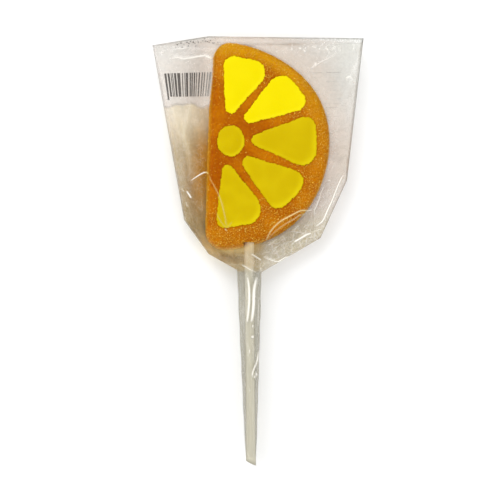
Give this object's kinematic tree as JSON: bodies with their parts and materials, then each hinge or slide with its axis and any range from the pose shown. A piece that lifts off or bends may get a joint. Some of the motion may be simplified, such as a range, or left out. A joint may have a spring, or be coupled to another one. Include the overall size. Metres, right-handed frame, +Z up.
{
  "type": "fruit jelly lollipop",
  "caption": "Fruit jelly lollipop: half an orange slice of sugared jelly with raised yellow segments, on a white stick, in a clear bag that narrows into a sleeve down the stick.",
  "frame": {"origin": "under the middle of the whole, on the surface that the wrapped lollipop lies on", "axes": "+X to the right of the shown side, +Y from the stick's free end to the bag's sealed top, +Z up out of the shown side"},
  "size_m": [0.0846, 0.172, 0.0147],
  "materials": {
    "orange_jelly": "cloudy orange fruit jelly with fine sugar on it",
    "yellow_jelly": "smooth opaque yellow jelly",
    "stick_plastic": "off-white plastic with a soft gloss",
    "clear_film": "clear glossy film, creased"
  },
  "bodies": {
    "root": {"jelly_slice": "orange_jelly", "segment_1": "yellow_jelly", "segment_2": "yellow_jelly", "segment_3": "yellow_jelly", "segment_4": "yellow_jelly", "segment_5": "yellow_jelly", "core_dot": "yellow_jelly", "stick": "stick_plastic", "bag": "clear_film"}
  },
  "joints": []
}
